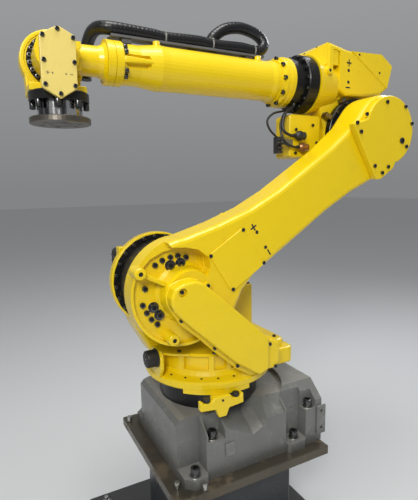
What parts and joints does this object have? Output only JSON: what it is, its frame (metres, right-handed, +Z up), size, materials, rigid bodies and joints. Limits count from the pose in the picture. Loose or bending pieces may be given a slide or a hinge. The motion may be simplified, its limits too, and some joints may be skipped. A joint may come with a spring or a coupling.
{
  "type": "six axis industrial robot arm on pedestal",
  "caption": "Jointed factory robot arm with a slewing cast base, leaning upper arm, rolling forearm and bending wrist, bolted to a steel pedestal.",
  "frame": {"origin": "on the floor, at the underside of the pedestal's foot plate, under the turning axis", "axes": "+X the way the forearm points at rest, +Y the side that carries the upper arm and its covers, +Z up"},
  "size_m": [1.266, 0.76, 1.7913],
  "materials": {
    "yellow_paint": "gloss",
    "pale_yellow_paint": "satin",
    "grey_paint": "satin",
    "charcoal_paint": "matte",
    "rusty_steel": "rusty",
    "black_metal": "satin",
    "steel": "satin",
    "dark_steel": "polished",
    "rubber": "matte",
    "hose_rubber": "braided",
    "black_plastic": "matte"
  },
  "bodies": {
    "base": {"pedestal_foot_plate": "charcoal_paint", "pedestal_column": "charcoal_paint", "pedestal_top_plate": "rusty_steel", "base_casting": "grey_paint", "base_side_pad": "grey_paint", "turn_stop_block": "grey_paint", "turn_bearing": "black_metal"},
    "carousel": {"carousel": "yellow_paint", "lean_reducer": "black_metal", "lean_motor": "black_metal", "turn_motor": "yellow_paint", "cable_cover": "yellow_paint", "stop_bracket": "yellow_paint", "stop_bumper_left": "rubber", "stop_bumper_right": "rubber", "buffer_cap": "rubber"},
    "upper_arm": {"upper_arm": "yellow_paint", "arm_access_plate": "yellow_paint", "elbow_cover": "yellow_paint"},
    "elbow": {"elbow_reducer": "black_metal", "elbow_housing": "yellow_paint", "elbow_motor": "black_metal", "elbow_stop_bar_upper": "dark_steel", "elbow_stop_bar_lower": "dark_steel", "connector_box": "yellow_paint", "connector_bracket": "yellow_paint", "power_connector": "black_plastic", "signal_connector": "black_plastic", "power_cable": "rubber", "signal_cable": "rubber", "roll_reducer": "black_metal"},
    "forearm": {"forearm_rear_flange": "yellow_paint", "forearm_tube": "yellow_paint", "forearm_front_flange": "yellow_paint", "wrist_fork": "yellow_paint", "hose_tray": "steel", "hose_tray_front_post": "steel", "hose_tray_rear_post": "steel", "hose_run": "hose_rubber", "hose_loop": "hose_rubber", "hose_end_clamp": "steel"},
    "wrist": {"wrist_far_hub": "yellow_paint", "wrist_housing": "yellow_paint", "wrist_side_cover": "pale_yellow_paint", "tool_collar": "black_metal"},
    "tool": {"tool_drum": "dark_steel", "tool_plate": "dark_steel"}
  },
  "joints": [
    {"name": "turn", "type": "hinge", "parent": "base", "child": "carousel", "pos_m": [0, 0, 0.41], "axis": [0, 0, 1], "range_deg": [-180, 180]},
    {"name": "lean", "type": "hinge", "parent": "carousel", "child": "upper_arm", "pos_m": [0.15, 0, 0.975], "axis": [0, 1, 0], "range_deg": [-32.5, 127.5]},
    {"name": "elbow_bend", "type": "hinge", "parent": "upper_arm", "child": "elbow", "pos_m": [-0.58375, 0, 1.44245], "axis": [0, -1, 0], "range_deg": [-15, 240]},
    {"name": "forearm_roll", "type": "hinge", "parent": "elbow", "child": "forearm", "pos_m": [-0.58375, 0, 1.61245], "axis": [1, 0, 0], "range_deg": [-360, 360]},
    {"name": "wrist_bend", "type": "hinge", "parent": "forearm", "child": "wrist", "pos_m": [0.43225, 0, 1.61245], "axis": [0, -1, 0], "range_deg": [-20, 200]},
    {"name": "tool_turn", "type": "hinge", "parent": "wrist", "child": "tool", "pos_m": [0.43225, 0.018, 1.61245], "axis": [0, 0, 1], "range_deg": [-360, 360]}
  ]
}
